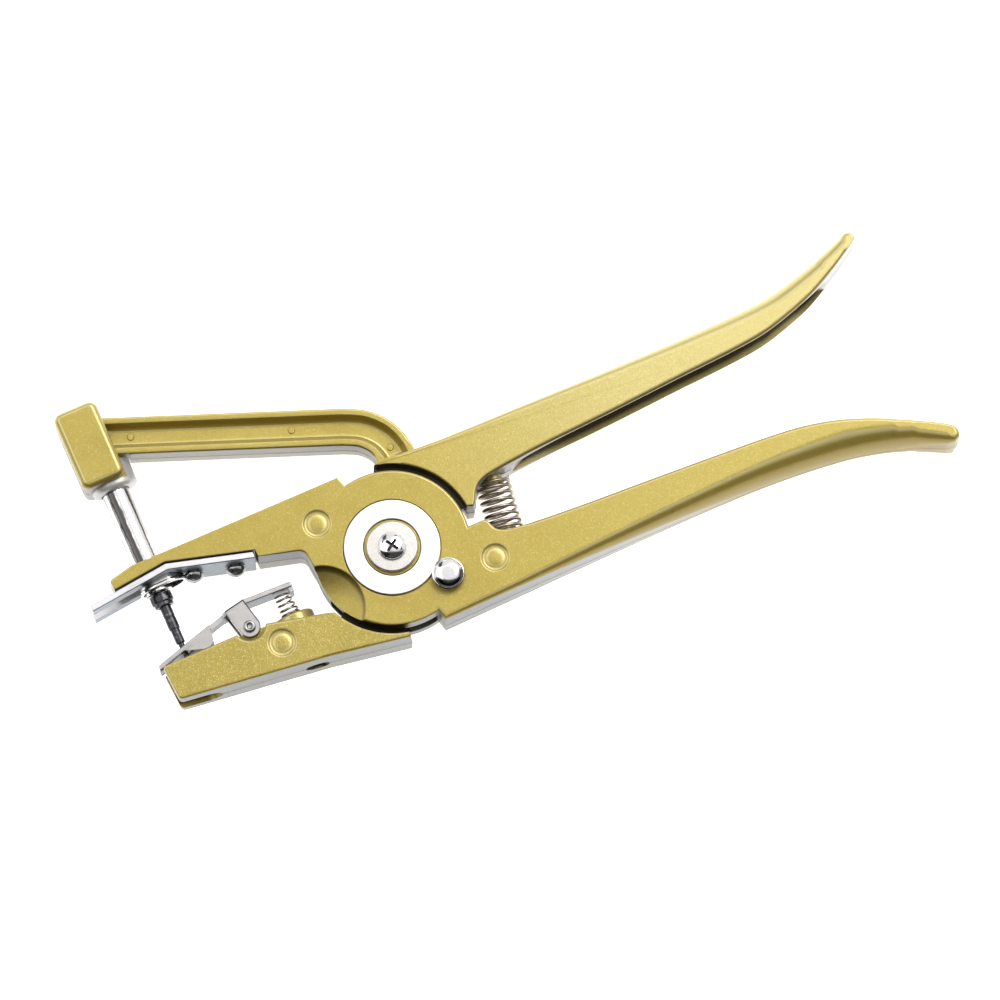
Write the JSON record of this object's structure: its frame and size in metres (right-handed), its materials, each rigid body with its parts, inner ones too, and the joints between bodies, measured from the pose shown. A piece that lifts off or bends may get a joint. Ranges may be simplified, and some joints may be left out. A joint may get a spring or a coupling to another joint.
{
  "type": "ear tag applicator",
  "caption": "Cast plier with a punch arm and stepped tag pin, a forked steel upper jaw, a drop-down lower jaw with a sprung tag clip, and long grips with a return spring.",
  "frame": {"origin": "on the pivot axis, on the back face of the pivot barrel's head, the face the tool lies on", "axes": "+Z along the pivot axis, out of the front face; +X along the tool towards the grips; +Y towards the punch arm"},
  "size_m": [0.2565, 0.1127, 0.0273],
  "materials": {
    "cast_paint": "gold metallic paint with a fine sparkle on a die casting",
    "steel": "zinc-plated stamped steel",
    "chrome": "bright chrome",
    "bare_aluminium": "turned bare aluminium with fine turning lines",
    "black_steel": "black oxide, slightly glossy",
    "spring_steel": "nickel-plated spring wire"
  },
  "bodies": {
    "frame": {"main_frame": "cast_paint", "jaw_plate": "steel", "jaw_plate_screw_front": "black_steel", "jaw_plate_screw_rear": "black_steel", "guide_bush": "steel", "hub_ring_front": "bare_aluminium", "hub_ring_back": "bare_aluminium", "pivot_barrel": "chrome", "pivot_washer": "chrome", "pivot_screw": "chrome", "lock_spring": "spring_steel", "main_spring": "spring_steel"},
    "upper_lever": {"upper_lever": "cast_paint", "punch_rod": "chrome", "pin_collar": "black_steel", "tag_pin": "black_steel"},
    "lower_jaw": {"lower_jaw": "cast_paint", "clip_pin": "steel", "clip_spring": "spring_steel"},
    "tag_clip": {"tag_clip": "steel"},
    "lock_button": {"lock_button": "chrome", "lock_retaining_ring": "steel"}
  },
  "joints": [
    {"name": "lever_squeeze", "type": "hinge", "parent": "frame", "child": "upper_lever", "pos_m": [0, 0, 0.0123], "axis": [0, 0, 1], "range_deg": [-9, 0], "stiffness_Nm_per_rad": 3.7, "springref_deg": 17.19, "deforming": ["main_spring"]},
    {"name": "jaw_drop", "type": "hinge", "parent": "upper_lever", "child": "lower_jaw", "pos_m": [0, 0, 0.0123], "axis": [0, 0, 1], "range_deg": [0, 22]},
    {"name": "clip_rock", "type": "hinge", "parent": "lower_jaw", "child": "tag_clip", "pos_m": [-0.0477, -0.0043, 0.0123], "axis": [0, 0, 1], "range_deg": [-12, 0], "stiffness_Nm_per_rad": 0.15, "springref_deg": 17.19, "deforming": ["clip_spring"]},
    {"name": "lock_press", "type": "slide", "parent": "frame", "child": "lock_button", "axis": [0, 0, 1], "range_m": [-0.0015, 0], "stiffness_N_per_m": 800, "springref_m": 0.002, "deforming": ["lock_spring"]}
  ]
}
